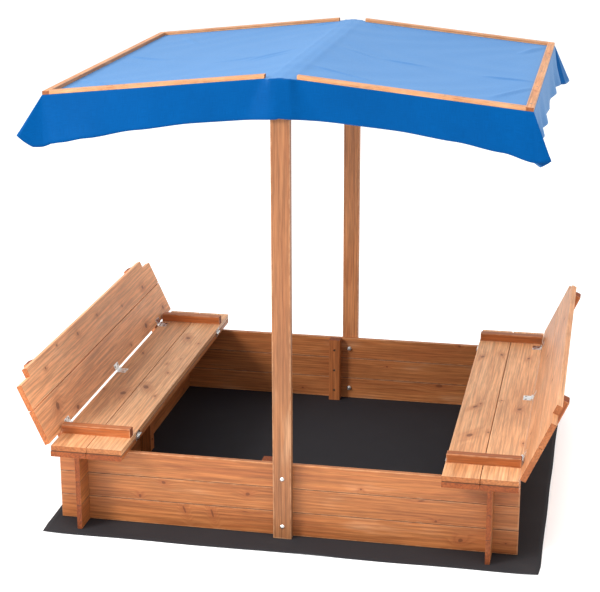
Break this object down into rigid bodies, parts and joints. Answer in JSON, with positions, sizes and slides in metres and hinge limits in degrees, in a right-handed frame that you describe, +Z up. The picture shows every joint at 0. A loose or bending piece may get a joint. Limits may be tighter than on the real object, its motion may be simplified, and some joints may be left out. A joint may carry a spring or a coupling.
{
  "type": "sandbox with cover",
  "caption": "Square wooden sandbox with a ground sheet, two benches that fold shut into a cover, and a gabled fabric canopy on two posts.",
  "frame": {"origin": "on the floor under the middle of the box, at the underside of the ground sheet", "axes": "+X across the pit from the left bench to the right bench, +Y along the benches from front to rear, +Z up"},
  "size_m": [1.4164, 1.219, 1.1973],
  "materials": {
    "wall_wood": "stained softwood, satin",
    "bench_wood": "stained softwood, satin",
    "canopy_wood": "stained softwood, satin",
    "canopy_fabric": "plain woven polyester",
    "ground_fabric": "black non-woven ground cloth",
    "zinc_steel": "bright zinc plate"
  },
  "bodies": {
    "root": {"canopy_cloth": "canopy_fabric", "canopy_eave_strips": "canopy_wood", "canopy_screws": "zinc_steel", "canopy_sloped_strips": "canopy_wood", "frame_screws": "zinc_steel", "front_left_rafter": "canopy_wood", "front_post": "wall_wood", "front_right_rafter": "canopy_wood", "front_wall_board_1": "wall_wood", "front_wall_board_2": "wall_wood", "front_wall_board_3": "wall_wood", "ground_sheet": "ground_fabric", "left_base_inner_board": "bench_wood", "left_base_outer_board": "bench_wood", "left_eave_bar": "canopy_wood", "left_seat_hinge_fixed_leaves": "zinc_steel", "left_wall_board_1": "wall_wood", "left_wall_board_2": "wall_wood", "left_wall_board_3": "wall_wood", "post_bolts": "zinc_steel", "post_nuts": "zinc_steel", "post_washers": "zinc_steel", "rear_left_rafter": "canopy_wood", "rear_post": "wall_wood", "rear_right_rafter": "canopy_wood", "rear_wall_board_1": "wall_wood", "rear_wall_board_2": "wall_wood", "rear_wall_board_3": "wall_wood", "ridge_beam": "canopy_wood", "right_base_inner_board": "bench_wood", "right_base_outer_board": "bench_wood", "right_eave_bar": "canopy_wood", "right_seat_hinge_fixed_leaves": "zinc_steel", "right_wall_board_1": "wall_wood", "right_wall_board_2": "wall_wood", "right_wall_board_3": "wall_wood", "wall_battens": "wall_wood"},
    "left_seat": {"left_back_hinge_seat_leaves": "zinc_steel", "left_seat_cleats": "bench_wood", "left_seat_hinge_moving_leaves": "zinc_steel", "left_seat_inner_board": "bench_wood", "left_seat_outer_board": "bench_wood", "left_seat_screws": "zinc_steel"},
    "left_back": {"left_back_cleats": "bench_wood", "left_back_hinge_back_leaves": "zinc_steel", "left_back_lower_board": "bench_wood", "left_back_screws": "zinc_steel", "left_back_upper_board": "bench_wood"},
    "right_seat": {"right_back_hinge_seat_leaves": "zinc_steel", "right_seat_cleats": "bench_wood", "right_seat_hinge_moving_leaves": "zinc_steel", "right_seat_inner_board": "bench_wood", "right_seat_outer_board": "bench_wood", "right_seat_screws": "zinc_steel"},
    "right_back": {"right_back_cleats": "bench_wood", "right_back_hinge_back_leaves": "zinc_steel", "right_back_lower_board": "bench_wood", "right_back_screws": "zinc_steel", "right_back_upper_board": "bench_wood"}
  },
  "joints": [
    {"name": "left_seat_fold", "type": "hinge", "parent": "root", "child": "left_seat", "pos_m": [-0.4072, 0, 0.21525], "axis": [0, 1, 0], "range_deg": [0, 180]},
    {"name": "left_back_fold", "type": "hinge", "parent": "left_seat", "child": "left_back", "pos_m": [-0.5968, 0, 0.2326], "axis": [0, -1, 0], "range_deg": [0, 65.8]},
    {"name": "right_seat_fold", "type": "hinge", "parent": "root", "child": "right_seat", "pos_m": [0.4072, 0, 0.21525], "axis": [0, -1, 0], "range_deg": [0, 180]},
    {"name": "right_back_fold", "type": "hinge", "parent": "right_seat", "child": "right_back", "pos_m": [0.5968, 0, 0.2326], "axis": [0, 1, 0], "range_deg": [0, 65.8]}
  ],
  "couplings": [
    {"joint": "left_back_fold", "follows": "left_seat_fold", "ratio": 0.36556},
    {"joint": "right_back_fold", "follows": "right_seat_fold", "ratio": 0.36556}
  ]
}
